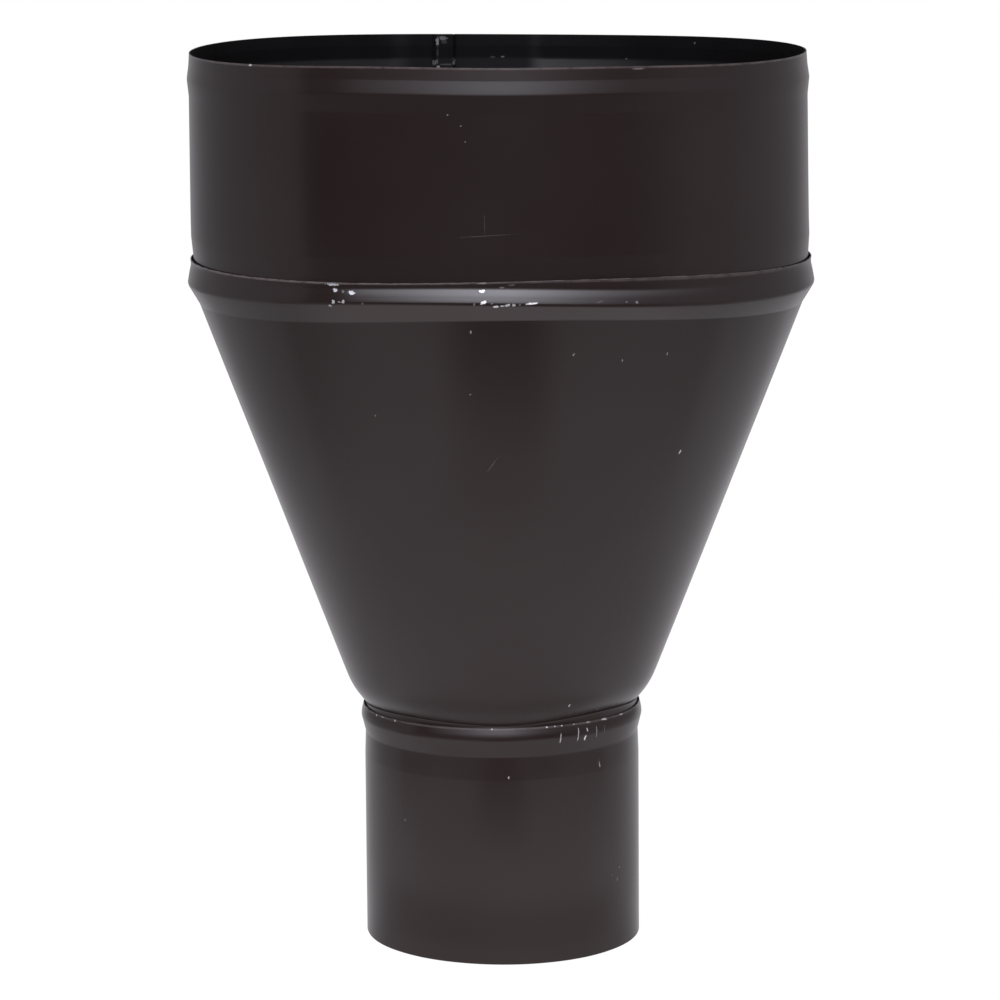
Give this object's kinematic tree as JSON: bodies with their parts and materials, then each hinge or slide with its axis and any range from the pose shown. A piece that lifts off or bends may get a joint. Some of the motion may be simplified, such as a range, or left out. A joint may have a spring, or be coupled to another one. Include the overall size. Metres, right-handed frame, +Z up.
{
  "type": "downpipe hopper head",
  "caption": "Round sheet steel hopper head: an open bowl on a tapering cone with a short outlet tube, locked together by rolled beads.",
  "frame": {"origin": "middle of the outlet tube's lower edge, on the common axis of the three shells", "axes": "+Z up along the common axis, from the outlet to the rim; -Y towards the viewer of the picture and +X to the viewer's right; the lock seams are on the +Y side"},
  "size_m": [0.2237, 0.2238, 0.3222],
  "materials": {
    "bowl_coat": "satin dark brown coil coating",
    "cone_coat": "satin dark brown coil coating, chipped along the bead",
    "tube_coat": "satin dark brown coil coating, chipped at the collar"
  },
  "bodies": {
    "root": {"bowl": "bowl_coat", "cone": "cone_coat", "outlet_tube": "tube_coat"}
  },
  "joints": []
}
